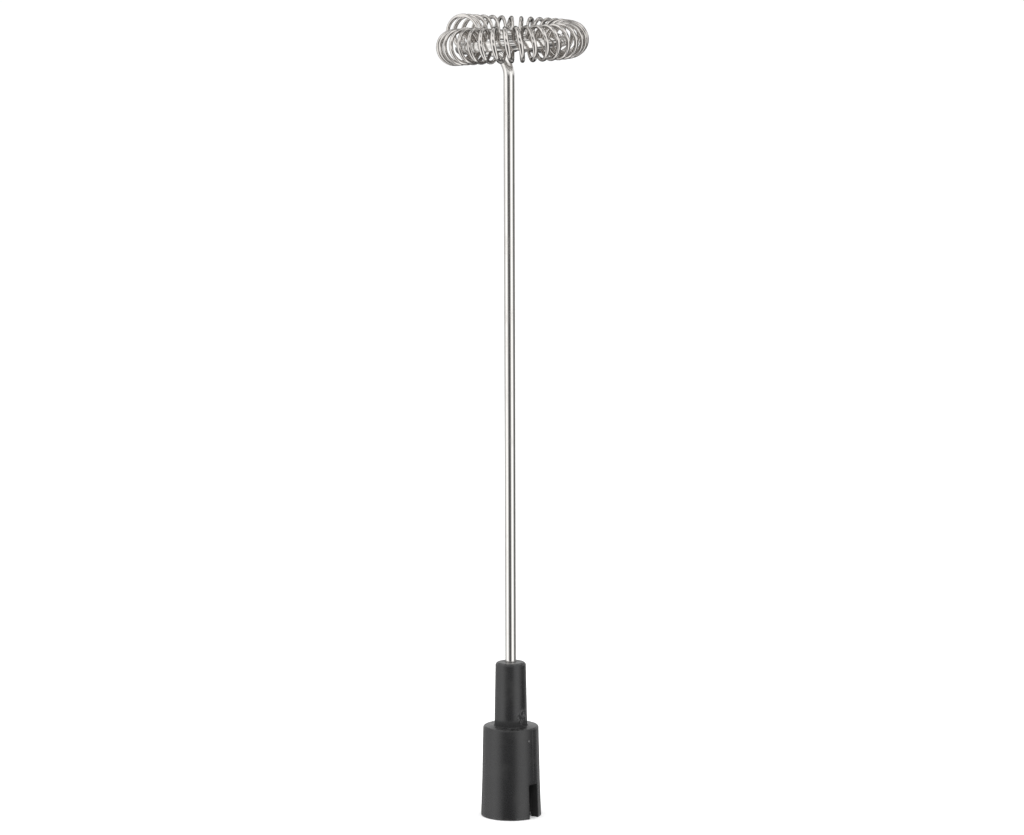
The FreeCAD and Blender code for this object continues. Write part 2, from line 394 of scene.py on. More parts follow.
# %% Bend the wire
SWAGE_LENGTH = 3.0 * MM
SWAGE_TAPER = 0.5 * MM
SWAGE_WIDEN = (1.25, 0.75, 1.0)
SWAGE_BACK = tuple(1.0 / factor for factor in SWAGE_WIDEN)
STEM_RUNS = 24
BEND_STEPS = 16
RING_STEPS = 112

start_clean()
bpy.ops.mesh.primitive_circle_add(vertices=WIRE_SIDES, radius=WIRE_RADIUS,
                                  location=(0.0, 0.0, WIRE_FOOT))
wire = name_piece("bright_wire")
bpy.ops.object.mode_set(mode="EDIT")
bpy.ops.mesh.select_all(action="SELECT")
bpy.ops.transform.resize(value=SWAGE_WIDEN)
grow((0.0, 0.0, SWAGE_LENGTH - SWAGE_TAPER))
grow((0.0, 0.0, SWAGE_TAPER))
bpy.ops.transform.resize(value=SWAGE_BACK)

outward = Vector((math.cos(heading), math.sin(heading), 0.0))
elbow_foot = SPOKE_HEIGHT - ELBOW_RADIUS * math.sin(elbow_turn)
stem_run = (elbow_foot - WIRE_FOOT - SWAGE_LENGTH) / STEM_RUNS
for _ in range(STEM_RUNS):
    grow((0.0, 0.0, stem_run))
print("stem top", spot() / MM)
elbow_pin = outward * ELBOW_RADIUS + UPRIGHT * elbow_foot
elbow_axis = UPRIGHT.cross(outward)
carry(elbow_pin, elbow_axis, elbow_turn, BEND_STEPS)
print("elbow end", spot() / MM)
grow((outward + UPRIGHT * math.tan(slope)) * SPOKE_LENGTH)
print("spoke end", spot() / MM)
carry((hook_x, 0.0, 0.0), UPRIGHT, hook_turn, BEND_STEPS, ring_foot - hook_foot)
print("hook end", spot() / MM)
ring_turn = RING_TIP - RING_START
ring_climb = RING_RISE * ring_turn / (2.0 * math.pi)
carry((ring_x, 0.0, 0.0), UPRIGHT, ring_turn, RING_STEPS, ring_climb)
print("tip", spot() / MM)
bpy.ops.object.mode_set(mode="OBJECT")
tally(wire)

# %% [markdown]
# The bender leaves two open ends. The foot is closed flat, deep in the plastic. The other
# end is where the wire was cut off, so its edge is just broken with a small round. Before
# that, each point is told where it lies: round the wire as a cosine and a sine, and along
# the wire in metres. The steel's finish later follows the wire by this note.

# %% Note the way along the wire
GRAIN_PLACE = "grain_place"


def mark_grain(piece, sides):
    """Note on each point of a tube its place round the wire and its way along it."""
    points = [v.co.copy() for v in piece.data.vertices]
    rounds = range(0, len(points), sides)
    middles = [sum(points[first:first + sides], Vector()) / sides for first in rounds]
    runs = [0.0]
    for before, after in zip(middles, middles[1:]):
        runs.append(runs[-1] + (after - before).length)
    note = piece.data.attributes.new(GRAIN_PLACE, "FLOAT_VECTOR", "POINT")
    for i in range(len(points)):
        turn = 2.0 * math.pi * (i % sides) / sides
        note.data[i].vector = (math.cos(turn), math.sin(turn), runs[i // sides])
    return runs[-1]


wire_run = mark_grain(wire, WIRE_SIDES)
print("the wire is %.1f mm long" % (wire_run / MM))

# %% Close the ends of the wire
TIP_ROUND = 0.12 * MM
TOUCH = 0.01 * MM
WIRE_SMOOTH = math.radians(35.0)


def close_ends(sides):
    """In edit mode, fill each open end, point the faces outwards, and count open edges."""
    bpy.ops.mesh.select_all(action="SELECT")
    bpy.ops.mesh.fill_holes(sides=sides)
    bpy.ops.mesh.normals_make_consistent(inside=False)
    bpy.ops.mesh.select_all(action="DESELECT")
    bpy.ops.mesh.select_non_manifold()
    return bpy.context.object.data.total_edge_sel


tip_middle = sum((v.co for v in wire.data.vertices[-WIRE_SIDES:]), Vector()) / WIRE_SIDES
bpy.ops.object.mode_set(mode="EDIT")
print("open edges left:", close_ends(WIRE_SIDES))
count = pick(lambda p: (p - tip_middle).length < WIRE_RADIUS + TOUCH)
print("points on the cut edge:", count)
bpy.ops.mesh.bevel(offset=TIP_ROUND, segments=3, affect="EDGES")
bpy.ops.object.mode_set(mode="OBJECT")
bpy.ops.object.shade_smooth_by_angle(angle=WIRE_SMOOTH)
tally(wire)

# %% [markdown]
# ## The foaming spring
#
# The spring is wound straight, cut, and threaded on the ring. Blender can do the same: a
# Screw modifier winds a small circle into a straight coil, and a Curve modifier then
# bends the whole coil round a path, as a finger bends the real one. Winding it straight
# first also makes it easy to let the turns stand a little unevenly, as they do once the
# spring has been pushed into place.

# %% Wind the coil
SPRING_SIDES = 14
STEPS_PER_TURN = 34

spring_turn = SPRING_END - SPRING_START
spring_climb = RING_RISE * spring_turn / (2.0 * math.pi)
spring_run = math.hypot(COIL_RING_RADIUS * spring_turn, spring_climb)

start_clean()
bpy.ops.mesh.primitive_circle_add(
    vertices=SPRING_SIDES, radius=SPRING_WIRE_RADIUS,
    location=(0.0, -COIL_RADIUS * math.cos(SPRING_ROLL), COIL_RADIUS * math.sin(SPRING_ROLL)),
    rotation=(math.pi - SPRING_ROLL, 0.0, 0.0))
spring = name_piece("foaming_coil")
winding = spring.modifiers.new("winding", "SCREW")
winding.axis = "X"
winding.angle = SPRING_TURNS * 2.0 * math.pi
winding.screw_offset = spring_run
winding.steps = round(SPRING_TURNS * STEPS_PER_TURN)
winding.render_steps = winding.steps
apply_modifiers(spring)
spring_wire_run = mark_grain(spring, SPRING_SIDES)
print("a coil %.1f mm long, from %.0f mm of fine wire" % (spring_run / MM, spring_wire_run / MM))

# %% [markdown]
# On a new spring the turns are even. Once it has been pushed along the ring they stand
# open at the front and closer towards both ends. They could be moved one by one, but a
# sum of slow waves shifts them all at once and leaves no jump from turn to turn. The part
# before the front has one wave of its own, as steep at the front as the others, so that
# the two parts join smoothly there. This is done while the coil is still straight.

# %% Let the turns stand unevenly
FRONT = math.radians(270.0)
PULL_BACK = math.radians(3.0)
PULL_ROUND = math.radians(1.3)
PULL_TWICE = math.radians(0.65)


def pulled(way):
    """How far a turn has slid along the ring, for one that should stand at this way."""
    behind = SPRING_START + way / spring_run * spring_turn - FRONT
    if behind < 0.0:
        whole = FRONT - SPRING_START
        steepness = PULL_BACK / 2.0 + PULL_ROUND + 2.0 * PULL_TWICE
        slid = steepness * whole / math.pi * math.sin(math.pi * behind / whole)
    else:
        slid = (PULL_BACK * math.sin(behind / 2.0) + PULL_ROUND * math.sin(behind)
                + PULL_TWICE * math.sin(2.0 * behind))
    return slid * COIL_RING_RADIUS


for point in spring.data.vertices:
    point.co.x += pulled(point.co.x)
print("the turn at the back has slid %.2f mm" % (pulled(spring_run * 0.8) / MM))

# %% Bend the coil round the ring
PATH_STEPS = 240
COIL_SMOOTH = math.radians(40.0)

path_line = bpy.data.curves.new("coil_path", "CURVE")
path_line.dimensions = "3D"
path_line.twist_mode = "Z_UP"
path_points = path_line.splines.new("POLY")
path_points.points.add(PATH_STEPS)
for i in range(PATH_STEPS + 1):
    angle = SPRING_START + spring_turn * i / PATH_STEPS
    height = ring_foot + RING_RISE * (angle - RING_START) / (2.0 * math.pi) + SPRING_LIFT
    path_points.points[i].co = (ring_x + COIL_RING_RADIUS * math.cos(angle),
                                COIL_RING_RADIUS * math.sin(angle), height, 1.0)
path = bpy.data.objects.new("coil_path", path_line)
bpy.context.collection.objects.link(path)

bending = spring.modifiers.new("bending", "CURVE")
bending.object = path
bending.deform_axis = "POS_X"
apply_modifiers(spring)
bpy.data.objects.remove(path)
bpy.ops.object.mode_set(mode="EDIT")
print("open edges left:", close_ends(SPRING_SIDES))
bpy.ops.object.mode_set(mode="OBJECT")
bpy.ops.object.shade_smooth_by_angle(angle=COIL_SMOOTH)
tally(spring)

# %% [markdown]
# ## The coupler
#
# The coupler is one moulding: a barrel that plugs on the motor's spigot, and a neck that
# grips the wire. A turned outline would give its round parts, but the mould also left
# marks that are not round: two drive slots, a thin line of flash where its halves met, a
# ragged patch of it at the foot of the neck, and the small scar of the gate. So it is
# pulled up ring by ring, cut, and only then dressed with those marks.

# %% Pull up the barrel, neck and socket
COUPLER_SIDES = 96
BORE_RADIUS = 1.03 * MM
GRIP_DEPTH = 10.5 * MM


def taper(factor):
    """Widen or narrow the selected ring, level with itself."""
    bpy.ops.transform.resize(value=(factor, factor, 1.0))


start_clean()
bpy.ops.mesh.primitive_circle_add(vertices=COUPLER_SIDES, radius=RIM_RADIUS,
                                  rotation=(0.0, 0.0, SLOT_ANGLE))
coupler = name_piece("black_coupler")
bpy.ops.object.mode_set(mode="EDIT")
bpy.ops.mesh.select_all(action="SELECT")
radius = RIM_RADIUS
for climb, next_radius in [(SHOULDER_HEIGHT, SHOULDER_RADIUS), (0.0, NECK_BASE_RADIUS),
                           (NECK_TOP - SHOULDER_HEIGHT, NECK_TIP_RADIUS), (0.0, BORE_RADIUS),
                           (-GRIP_DEPTH, BORE_RADIUS)]:
    grow((0.0, 0.0, climb))
    taper(next_radius / radius)
    radius = next_radius
bpy.ops.mesh.edge_face_add()
pick(lambda p: p.z < TOUCH)
grow((0.0, 0.0, 0.0))
taper(SOCKET_RADIUS / RIM_RADIUS)
grow((0.0, 0.0, SOCKET_DEPTH))
bpy.ops.mesh.edge_face_add()
bpy.ops.mesh.select_all(action="SELECT")
bpy.ops.mesh.normals_make_consistent(inside=False)
tally(coupler)

# %% Round its rings
# each with its ring's radius and height, the size of the round and its steps
ROUNDS = [("neck top", NECK_TIP_RADIUS, NECK_TOP, 0.55 * MM, 8),
          ("bore mouth", BORE_RADIUS, NECK_TOP, 0.08 * MM, 3),
          ("neck root", NECK_BASE_RADIUS, SHOULDER_HEIGHT, 0.1 * MM, 3),
          ("shoulder", SHOULDER_RADIUS, SHOULDER_HEIGHT, 0.35 * MM, 6),
          ("socket floor", SOCKET_RADIUS, SOCKET_DEPTH, 0.3 * MM, 3)]

for name, radius, height, size, steps in ROUNDS:
    count = pick(lambda p: abs(p.z - height) < TOUCH and abs(p.xy.length - radius) < TOUCH)
    bpy.ops.mesh.bevel(offset=size, segments=steps, affect="EDGES")
    print("%s: %d points rounded" % (name, count))
bpy.ops.object.mode_set(mode="OBJECT")

# %% [markdown]
# The drive slots are cut by a long box and the gate's scar by a small ball, each taken out
# of the moulding by a boolean. The slots could be modelled into the rings by hand, but a
# cutter has its own exact width and its own rounded corners. A boolean leaves long thin
# faces that shade badly on a round skin, so level lines are drawn round the coupler first:
# they keep the new faces close to each cut, and later carry the ragged patch of flash.

# %% Ring lines that keep the cuts' faces small
SLOT_MARGIN = 0.6 * MM
GATE_HEIGHT = 14.7 * MM
GATE_MARGIN = 0.4 * MM
RAGGED = (17.2 * MM, 20.4 * MM)
RAGGED_ROWS = 14


def slice_level(heights):
    """In edit mode, draw a level line round the whole mesh at each height."""
    for height in heights:
        bpy.ops.mesh.select_all(action="SELECT")
        bpy.ops.mesh.bisect(plane_co=(0.0, 0.0, height), plane_no=(0.0, 0.0, 1.0))


row_step = (RAGGED[1] - RAGGED[0]) / (RAGGED_ROWS - 1)
ragged_heights = [RAGGED[0] + row * row_step for row in range(RAGGED_ROWS)]
bpy.ops.object.mode_set(mode="EDIT")
slice_level([SLOT_HEIGHT + SLOT_MARGIN, GATE_HEIGHT - GATE_MARGIN, GATE_HEIGHT + GATE_MARGIN])
slice_level(ragged_heights)
bpy.ops.object.mode_set(mode="OBJECT")
tally(coupler)

# %% Cut the drive slots and the gate's scar
SLOT_ROUND = 0.3 * MM
GATE_ANGLE = math.radians(310.0)
GATE_BALL = 0.6 * MM
GATE_DEPTH = 0.05 * MM


def cut(piece, cutter):
    """Take the cutter's shape out of a piece, and throw the cutter away."""
    cutting = piece.modifiers.new("cutting", "BOOLEAN")
    cutting.operation = "DIFFERENCE"
    cutting.solver = "EXACT"
    cutting.object = cutter
    apply_modifiers(piece)
    bpy.data.objects.remove(cutter)


start_clean()
bpy.ops.mesh.primitive_cube_add(size=1.0, rotation=(0.0, 0.0, SLOT_ANGLE),
                                scale=(4.0 * RIM_RADIUS, SLOT_WIDTH, 2.0 * SLOT_HEIGHT))
slot_cutter = name_piece("slot_cutter")
bpy.ops.object.mode_set(mode="EDIT")
pick(lambda p: p.z > 0.0)
bpy.ops.mesh.bevel(offset=SLOT_ROUND, segments=4, affect="EDGES")
bpy.ops.object.mode_set(mode="OBJECT")
cut(coupler, slot_cutter)

start_clean()
barrel_lean = (RIM_RADIUS - SHOULDER_RADIUS) / SHOULDER_HEIGHT
gate_out = RIM_RADIUS - barrel_lean * GATE_HEIGHT + GATE_BALL - GATE_DEPTH
bpy.ops.mesh.primitive_uv_sphere_add(
    segments=24, ring_count=12, radius=GATE_BALL,
    location=(gate_out * math.cos(GATE_ANGLE), gate_out * math.sin(GATE_ANGLE), GATE_HEIGHT))
cut(coupler, name_piece("gate_cutter"))
tally(coupler)

# %% [markdown]
# No moulded edge is truly sharp, and it is the narrow light along an edge that makes
# plastic look solid. A bevel on each edge by hand would be slow, so the edges are found by
# their angle and rounded in one go. The rim also flares outwards a little, where the
# plastic crept under the face of the mould.

# %% Break the edges of the rim and the slots
SHARP = math.radians(50.0)
EDGE_ROUND = 0.07 * MM
LIP_INNER_RADIUS = SOCKET_RADIUS + 0.6 * MM
LIP_HEIGHT = 0.25 * MM
LIP_FLARE = 1.013

start_clean()
bpy.context.view_layer.objects.active = coupler
coupler.select_set(True)
bpy.ops.object.mode_set(mode="EDIT")
bpy.ops.mesh.select_mode(type="VERT")
bpy.ops.mesh.select_all(action="DESELECT")
bpy.ops.mesh.edges_select_sharp(sharpness=SHARP)
print("sharp edges:", coupler.data.total_edge_sel)
bpy.ops.mesh.bevel(offset=EDGE_ROUND, segments=3, affect="EDGES")
pick(lambda p: p.z < LIP_HEIGHT and p.xy.length > LIP_INNER_RADIUS)
bpy.ops.transform.resize(value=(LIP_FLARE, LIP_FLARE, 1.0), center_override=(0.0, 0.0, 0.0))
bpy.ops.object.mode_set(mode="OBJECT")
tally(coupler)

# %% [markdown]
# Where the halves of the mould met, plastic crept into the joint and left a raised line
# finer than a hair, and a ragged patch at the foot of the neck on one side. A texture could
# draw both, but only a line that stands proud catches the light at its edge. So the points
# on the joint are bevelled into a narrow strip and pushed out, evenly for the line, and
# row by row by chance for the patch.

# %% Raise the parting line
FLASH_WIDTH = 0.06 * MM
FLASH_HEIGHT = 0.018 * MM
RAGGED_RISE = (-0.05 * MM, 0.14 * MM)
BARREL_SKIN = SOCKET_RADIUS + 0.4 * MM
NECK_SKIN = 2.35 * MM
MOULDING_SMOOTH = math.radians(32.0)


def on_seam(side, low, high):
    """A test for points of the outer skin on one side's parting line, between two heights."""
    along = Vector((math.cos(SLOT_ANGLE), math.sin(SLOT_ANGLE))) * side
    across = Vector((-along.y, along.x))

    def wanted(p):
        skin = BARREL_SKIN if p.z < SHOULDER_HEIGHT - TOUCH else NECK_SKIN
        return low < p.z < high and abs(p.xy.dot(across)) < TOUCH and p.xy.dot(along) > skin
    return wanted


start_clean()
bpy.context.view_layer.objects.active = coupler
coupler.select_set(True)
random.seed(11)
bpy.ops.object.mode_set(mode="EDIT")
for side in (1.0, -1.0):
    line = on_seam(side, SLOT_HEIGHT + EDGE_ROUND + TOUCH, NECK_TOP + TOUCH)
    pick(line)
    bpy.ops.mesh.bevel(offset=FLASH_WIDTH, segments=2, affect="EDGES")
    print("points on the parting line:", pick(line))
    bpy.ops.transform.shrink_fatten(value=FLASH_HEIGHT)
for height in ragged_heights:
    pick(on_seam(1.0, height - TOUCH, height + TOUCH))
    bpy.ops.transform.shrink_fatten(value=random.uniform(*RAGGED_RISE))
left_open = close_ends(COUPLER_SIDES)
bpy.ops.object.mode_set(mode="OBJECT")
print("open edges left:", left_open)
bpy.ops.object.shade_smooth_by_angle(angle=MOULDING_SMOOTH)
tally(coupler)

# %% [markdown]
# ## Finishes
#
# Three finishes are made here: the whisk wire's drawn steel, the spring's finer and duller
# steel, and the coupler's moulded plastic. What they share is built once as node groups:
# the lines that a die leaves along a drawn wire, and the smudges that every handled
# surface carries. Each material then places the groups with sizes of its own.

# %% Helper for node groups
def node_group(name, inputs, outputs):
    """An empty group with its sockets, and the nodes that stand for its two ends."""
    group = bpy.data.node_groups.new(name, "ShaderNodeTree")
    for socket_name, kind, value in inputs:
        made = group.interface.new_socket(name=socket_name, in_out="INPUT", socket_type=kind)
        if value is not None:
            made.default_value = value
    for socket_name, kind in outputs:
        group.interface.new_socket(name=socket_name, in_out="OUTPUT", socket_type=kind)
    return group, add_node(group, "NodeGroupInput"), add_node(group, "NodeGroupOutput")


def noise(tree, vector, scale, detail=2.0, roughness=0.5):
    """The value of a noise pattern."""
    node = add_node(tree, "ShaderNodeTexNoise")
    feed(tree, node, "Vector", vector)
    feed(tree, node, "Scale", scale)
    feed(tree, node, "Detail", detail)
    feed(tree, node, "Roughness", roughness)
    return node.outputs["Fac"]


def spread(tree, value, low, high, new_low=0.0, new_high=1.0):
    """A value taken smoothly from one range to another."""
    node = add_node(tree, "ShaderNodeMapRange", interpolation_type="SMOOTHSTEP")
    feed(tree, node, "Value", value)
    for socket_name, number in (("From Min", low), ("From Max", high),
                                ("To Min", new_low), ("To Max", new_high)):
        feed(tree, node, socket_name, number)
    return node.outputs["Result"]


# %% Group: the lines left by drawing
COARSE_SHARE = 0.6
FINE_SHARE = 0.4
FINE_SCALE = 3.1


def drawn_lines_group():
    """Long fine scores that follow a wire, as a value round one half."""
    group, start, end = node_group(
        "drawn_lines",
        [("Place", "NodeSocketVector", None), ("Round", "NodeSocketFloat", 12.0),
         ("Along", "NodeSocketFloat", 300.0)],
        [("Lines", "NodeSocketFloat")])
    size = add_node(group, "ShaderNodeCombineXYZ")
    for axis, source in (("X", "Round"), ("Y", "Round"), ("Z", "Along")):
        feed(group, size, axis, start.outputs[source])
    stretched = add_node(group, "ShaderNodeVectorMath", operation="MULTIPLY")
    feed(group, stretched, 0, start.outputs["Place"])
    feed(group, stretched, 1, size.outputs[0])
    coarse = noise(group, stretched.outputs[0], 1.0, 3.0, 0.6)
    fine = noise(group, stretched.outputs[0], FINE_SCALE, 1.0, 0.5)
    lines = maths(group, "ADD", maths(group, "MULTIPLY", coarse, COARSE_SHARE),
                  maths(group, "MULTIPLY", fine, FINE_SHARE))
    feed(group, end, "Lines", lines)
    return group


drawn_lines = drawn_lines_group()
print("group", drawn_lines.name, "with", len(drawn_lines.nodes), "nodes")

# %% Group: smudges of handling and washing
BREAK_SCALE = 9.0
BREAK_SHARE = 0.25
SMUDGE_EDGE = 0.22


def smudges_group():
    """Soft patches with broken edges, from 0 on clean to 1 on smudged."""
    group, start, end = node_group(
        "smudges",
        [("Place", "NodeSocketVector", None), ("Size", "NodeSocketFloat", 200.0),
         ("Clean", "NodeSocketFloat", 0.5)],
        [("Mask", "NodeSocketFloat")])
    patches = noise(group, start.outputs["Place"], start.outputs["Size"], 2.0, 0.5)
    broken = noise(group, start.outputs["Place"],
                   maths(group, "MULTIPLY", start.outputs["Size"], BREAK_SCALE), 3.0, 0.7)
    mixed = maths(group, "MULTIPLY_ADD", broken, BREAK_SHARE, patches)
    full = maths(group, "ADD", start.outputs["Clean"], SMUDGE_EDGE)
    feed(group, end, "Mask", spread(group, mixed, start.outputs["Clean"], full))
    return group


smudges = smudges_group()
print("group", smudges.name, "with", len(smudges.nodes), "nodes")

# %% Helpers for materials
def material(name):
    """A material with an empty tree but for its shader and output."""
    made = bpy.data.materials.new(name)
    made.use_nodes = True
    tree = made.node_tree
    tree.nodes.clear()
    shader = add_node(tree, "ShaderNodeBsdfPrincipled")
    feed(tree, add_node(tree, "ShaderNodeOutputMaterial"), "Surface", shader.outputs[0])
    return made, tree, shader


def place_group(tree, group, **values):
    """One of the shared groups, placed with its own values."""
    node = add_node(tree, "ShaderNodeGroup", node_tree=group)
    for socket_name, value in values.items():
        feed(tree, node, socket_name, value)
    return node.outputs[0]


def mix_colour(tree, factor, first, second):
    """One colour turning into another."""
    node = add_node(tree, "ShaderNodeMix", data_type="RGBA")
    feed(tree, node, "Factor", factor)
    feed(tree, node, FIRST_COLOUR, first)
    feed(tree, node, SECOND_COLOUR, second)
    return node.outputs[MIXED_COLOUR]


def raise_bumps(tree, shader, height, depth):
    """Let a height roughen the surface, to a depth in metres."""
    bump = add_node(tree, "ShaderNodeBump")
    feed(tree, bump, "Strength", 1.0)
    feed(tree, bump, "Distance", depth)
    feed(tree, bump, "Height", height)
    feed(tree, shader, "Normal", bump.outputs[0])


def finish(piece, made, body, node):
    """Give a piece its finish, and say what it rides on and stands for."""
    piece.data.materials.clear()
    piece.data.materials.append(made)
    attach(piece, body)
    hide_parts(node)
    print("%s rides on %s and stands for %s" % (piece.name, body, node))


# %% [markdown]
# ### Steel
#
# Steel is a mirror with a faint warm tint, so nearly all of its look is in how sharp the
# mirror is. Roughness follows the drawn lines and the smudges, and a bump about a
# thousandth of a millimetre deep bends the reflections along the wire. The cut end is
# torn metal, rougher and darker than the drawn skin. Seen at a grazing angle, the fine
# wire of the spring also turns dark, which is the Specular Tint of its shader: it sets
# the turns of the coil off from one another.

# %% Steel finish
STEEL_SMUDGES = {"Size": 170.0, "Clean": 0.62}
LINE_SHADE = 0.5
SMUDGE_SHADE = 0.35
TORN_DEPTH = 0.06 * MM


def steel(name, bright, dull, smooth, rough, scores, run, bump_depth, grazing):
    """Drawn steel, with its scores' fineness round and along a wire that is run long."""
    made, tree, shader = material(name)
    grain = add_node(tree, "ShaderNodeAttribute", attribute_name=GRAIN_PLACE)
    place = add_node(tree, "ShaderNodeTexCoord").outputs["Object"]
    lines = place_group(tree, drawn_lines, Place=grain.outputs["Vector"],
                        Round=scores[0], Along=scores[1])
    smudged = place_group(tree, smudges, Place=place, **STEEL_SMUDGES)
    along = add_node(tree, "ShaderNodeSeparateXYZ")
    feed(tree, along, "Vector", grain.outputs["Vector"])
    torn = spread(tree, along.outputs["Z"], run - TORN_DEPTH, run)
    smudge_shade = maths(tree, "MULTIPLY", smudged, SMUDGE_SHADE)
    shade = maths(tree, "MULTIPLY_ADD", lines, LINE_SHADE, smudge_shade)
    worn = maths(tree, "ADD", shade, torn, clamp=True)
    feed(tree, shader, "Base Color", mix_colour(tree, worn, bright, dull))
    feed(tree, shader, "Roughness", spread(tree, worn, 0.0, 1.0, smooth, rough))
    feed(tree, shader, "Metallic", 1.0)
    feed(tree, shader, "Specular Tint", grazing)
    raise_bumps(tree, shader, lines, bump_depth)
    return made


wire_steel = steel("bright_drawn_steel",
                   bright=(0.78, 0.765, 0.745, 1.0), dull=(0.60, 0.58, 0.555, 1.0),
                   smooth=0.09, rough=0.32, scores=(11.0, 260.0), run=wire_run,
                   bump_depth=0.0012 * MM, grazing=WHITE)
spring_steel = steel("dull_spring_steel",
                     bright=(0.70, 0.675, 0.65, 1.0), dull=(0.34, 0.32, 0.30, 1.0),
                     smooth=0.05, rough=0.22, scores=(5.0, 420.0), run=spring_wire_run,
                     bump_depth=0.001 * MM, grazing=grey(0.3))
finish(wire, wire_steel, "whisk", "whisk_wire")
finish(spring, spring_steel, "spring", "foaming_spring")

# %% [markdown]
# ### Black plastic
#
# The mould was spark-eroded, so the plastic has a fine even grain rather than a polish.
# Black shows dust and handling as a greyer, duller skin, and rubbing has dulled and
# lightened the rim, the edge of the shoulder and the top of the neck. The faces that a
# core shaped, in the socket and the slots, are rough, and a deeper black is painted on
# them as shade inside these recesses. The foot of the neck is rough as well, with a ragged
# patch on it where flash was torn off, and the gate left a pale scar on the barrel.
#
# Each of these marks is a mask: a value from 0 to 1 that depends on where a point lies.
# A mask is easiest to think of, and to change, when it has a small function of its own.

# %% Helpers for masks
def measure(tree, operation, *vectors):
    """A length, a distance or a product of vectors, as a number."""
    node = add_node(tree, "ShaderNodeVectorMath", operation=operation)
    for i, vector in enumerate(vectors):
        feed(tree, node, i, vector)
    return node.outputs["Value"]


def fade(tree, value, full, none):
    """1 up to one value, falling smoothly to 0 at a higher one."""
    return spread(tree, value, full, none, 1.0, 0.0)


def near_height(tree, up, height, full, none):
    """1 close to a height, above it or below it, falling to 0."""
    off = maths(tree, "ABSOLUTE", maths(tree, "SUBTRACT", up, height))
    return fade(tree, off, full, none)


# %% Masks: rubbed edges, the foot of the neck
RUBBED_BANDS = [(0.0, 0.7 * MM), (SHOULDER_HEIGHT, 0.12 * MM), (NECK_TOP, 0.5 * MM)]
RUBBED_PATCHES = 1500.0
FOOT_REACH = (0.8 * MM, 1.6 * MM)
FOOT_SKIN = 0.2 * MM


def rubbed_edges(tree, place, up):
    """Patchy bands at the rim, the shoulder and the top of the neck."""
    bands = [near_height(tree, up, height, 0.0, reach) for height, reach in RUBBED_BANDS]
    widest = bands[0]
    for band in bands[1:]:
        widest = maths(tree, "MAXIMUM", widest, band)
    patchy = spread(tree, noise(tree, place, RUBBED_PATCHES, 3.0, 0.65), 0.42, 0.62)
    return maths(tree, "MULTIPLY", widest, patchy)


def neck_foot(tree, out, up):
    """The lowest part of the neck, where it stands on the shoulder."""
    low = near_height(tree, up, SHOULDER_HEIGHT, *FOOT_REACH)
    skin = fade(tree, out, NECK_BASE_RADIUS, NECK_BASE_RADIUS + FOOT_SKIN)
    return maths(tree, "MULTIPLY", low, skin)


# %% Masks: cored faces with painted shade, the gate's scar, the patch of flash
CORE_EDGE = 0.5 * MM
WALL_EDGE = (0.01 * MM, 0.05 * MM)
SCAR_REACH = (0.10 * MM, 0.22 * MM)
PATCH_REACH = (0.9 * MM, 1.9 * MM)


def cored_faces_with_shade(tree, place, out, up):
    """The inside of the socket and the walls of the drive slots: rough, with a deeper black painted
    on as shade.
    """
    bore = maths(tree, "MULTIPLY", fade(tree, out, SOCKET_RADIUS, SOCKET_RADIUS + CORE_EDGE),
                 fade(tree, up, SOCKET_DEPTH, SOCKET_DEPTH + CORE_EDGE))
    sideways = (-math.sin(SLOT_ANGLE), math.cos(SLOT_ANGLE), 0.0)
    aside = maths(tree, "ABSOLUTE", measure(tree, "DOT_PRODUCT", place, sideways))
    in_slot = fade(tree, aside, *(0.5 * SLOT_WIDTH + edge for edge in WALL_EDGE))
    low = fade(tree, up, *(SLOT_HEIGHT + edge for edge in WALL_EDGE))
    return maths(tree, "MAXIMUM", bore, maths(tree, "MULTIPLY", in_slot, low))


def near_point(tree, place, angle, radius, height, reach):
    """1 round a point given by its angle, radius and height, falling to 0."""
    point = (radius * math.cos(angle), radius * math.sin(angle), height)
    return fade(tree, measure(tree, "DISTANCE", place, point), *reach)


# %% Moulded black finish
PLASTIC_SMUDGES = {"Size": 210.0, "Clean": 0.64}
SPARK_SCALE = 8200.0
FLOW_SCALE = 330.0
SPECKLE_SCALE = 3000.0

FRESH_BLACKS = (grey(0.010, 0.0005), grey(0.015, 0.0005))
DUST = (0.030, 0.029, 0.028, 1.0)
RUBBED = grey(0.045, 0.001)
SCAR = grey(0.10)
GRAINS = grey(0.085, 0.001)
# painted shade: a deeper black on the cored faces inside the socket and the slots
CORED_SHADE_BLACK = grey(0.009)
DUST_SHARE = 0.25
RUBBED_SHARE = 0.7

SPARK_ROUGHNESS = (0.23, 0.33)
HANDLED_ROUGHNESS = 0.08
PIT_ROUGHNESS = 0.6
FOOT_ROUGHNESS = 0.5
CORED_ROUGHNESS = 0.70

SKIN_DEPTH = 0.0016 * MM
FLOW_BUMP = 0.8
TORN_BUMP = 60.0


